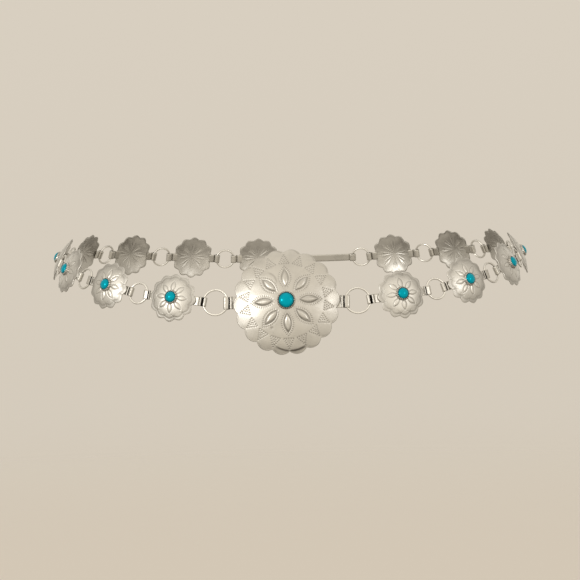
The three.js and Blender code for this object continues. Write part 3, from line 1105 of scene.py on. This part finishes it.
def surround():
    """A world that adds soft patches of light, each a smooth hill round its direction, to a
    gradient over height. The camera itself sees a plain tone that is lighter higher up."""
    world = bpy.data.worlds.new("surround")
    bpy.context.scene.world = world
    world.use_nodes = True
    tree = world.node_tree
    nodes, links = tree.nodes, tree.links
    place = nodes.new("ShaderNodeTexCoord")
    split = nodes.new("ShaderNodeSeparateXYZ")
    links.new(place.outputs["Generated"], split.inputs["Vector"])

    def ramp(tones):
        """A colour over height, from tones that are each given at an angle above the level."""
        height = nodes.new("ShaderNodeMapRange")
        height.inputs["From Min"].default_value = -1.0
        made = nodes.new("ShaderNodeValToRGB")
        made.color_ramp.interpolation = "EASE"
        while len(made.color_ramp.elements) < len(tones):
            made.color_ramp.elements.new(0.5)
        for element, (rise, colour) in zip(made.color_ramp.elements, tones):
            element.position = (1 + np.sin(np.radians(rise))) / 2
            element.color = (*colour, 1)
        links.new(split.outputs["Z"], height.inputs["Value"])
        links.new(height.outputs["Result"], made.inputs["Fac"])
        return made.outputs["Color"]

    def patch(before, turn, rise, inner, outer, colour):
        """Adds a patch that is full up to inner degrees from its middle and ends at outer."""
        near = nodes.new("ShaderNodeVectorMath")
        near.operation = "DOT_PRODUCT"
        near.inputs[1].default_value = toward(turn, rise)
        share = nodes.new("ShaderNodeMapRange")
        share.interpolation_type = "SMOOTHSTEP"
        share.inputs["From Min"].default_value = np.cos(np.radians(outer))
        share.inputs["From Max"].default_value = np.cos(np.radians(inner))
        links.new(place.outputs["Generated"], near.inputs[0])
        links.new(near.outputs["Value"], share.inputs["Value"])
        return mixed(tree, share.outputs["Result"], before, colour, "ADD")

    light = ramp(surround_tones)
    light = patch(light, 0, 22, 28, 84, (0.36, 0.33, 0.28))
    light = patch(light, -35, 17, 10, 30, (0.34, 0.34, 0.31))
    light = patch(light, 30, 15, 8, 24, (0.09, 0.09, 0.09))
    light = patch(light, 180, 10, 20, 75, (0.18, 0.175, 0.16))
    seen = nodes.new("ShaderNodeLightPath")
    colour = mixed(tree, seen.outputs["Is Camera Ray"], light, ramp(camera_tones))
    links.new(colour, nodes["Background"].inputs["Color"])


def soft_light(name, turn, rise, distance, width, height, radiance):
    """A rectangular light in a direction from the belt, facing it. Its power follows from
    its radiance, which a surface shows that reflects it."""
    light = bpy.data.lights.new(name, "AREA")
    light.shape = "RECTANGLE"
    light.size = width
    light.size_y = height
    light.energy = radiance * np.pi * width * height
    light.color = light_colour
    back = toward(turn, rise)
    side = unit(np.cross([0.0, 0.0, 1.0], back))
    matrix = np.eye(4)
    matrix[:3, 0] = side
    matrix[:3, 1] = np.cross(back, side)
    matrix[:3, 2] = back
    matrix[:3, 3] = back * distance
    lamp = bpy.data.objects.new(name, light)
    lamp.matrix_world = Matrix(matrix)
    bpy.context.scene.collection.objects.link(lamp)


surround()
soft_light("left_light", -41, 12, 1.5, 0.30, 0.34, 8.5)
soft_light("right_light", 43, 14, 1.5, 0.24, 0.28, 4.6)

# The floor is solid under the belt and thins out to nothing before its edge.
floor_material = bpy.data.materials.new("pale_floor")
floor_material.use_nodes = True
floor_nodes, floor_links = floor_material.node_tree.nodes, floor_material.node_tree.links
floor_shader = floor_nodes["Principled BSDF"]
floor_shader.inputs["Base Color"].default_value = floor_colour
floor_shader.inputs["Roughness"].default_value = 0.9
floor_place = floor_nodes.new("ShaderNodeTexCoord")
floor_reach = floor_nodes.new("ShaderNodeVectorMath")
floor_reach.operation = "LENGTH"
floor_fade = floor_nodes.new("ShaderNodeMapRange")
floor_fade.interpolation_type = "SMOOTHERSTEP"
floor_fade.inputs["From Min"].default_value = floor_solid_to
floor_fade.inputs["From Max"].default_value = floor_gone_at
floor_fade.inputs["To Min"].default_value = 1.0
floor_fade.inputs["To Max"].default_value = 0.0
floor_links.new(floor_place.outputs["Object"], floor_reach.inputs[0])
floor_links.new(floor_reach.outputs["Value"], floor_fade.inputs["Value"])
floor_links.new(floor_fade.outputs["Result"], floor_shader.inputs["Alpha"])
floor_mesh = bpy.data.meshes.new("floor")
floor_turns = np.linspace(0, 2 * np.pi, floor_corners, endpoint=False)
floor_rim = floor_radius * np.column_stack([np.cos(floor_turns), np.sin(floor_turns)])
floor_points = np.column_stack([floor_rim, np.full(floor_corners, floor_height)])
floor_mesh.from_pydata(floor_points.tolist(), [], [range(floor_corners)])
floor_mesh.materials.append(floor_material)
floor = bpy.data.objects.new("floor", floor_mesh)
floor.visible_glossy = False
bpy.context.scene.collection.objects.link(floor)

bpy.context.scene.view_settings.view_transform = "Standard"
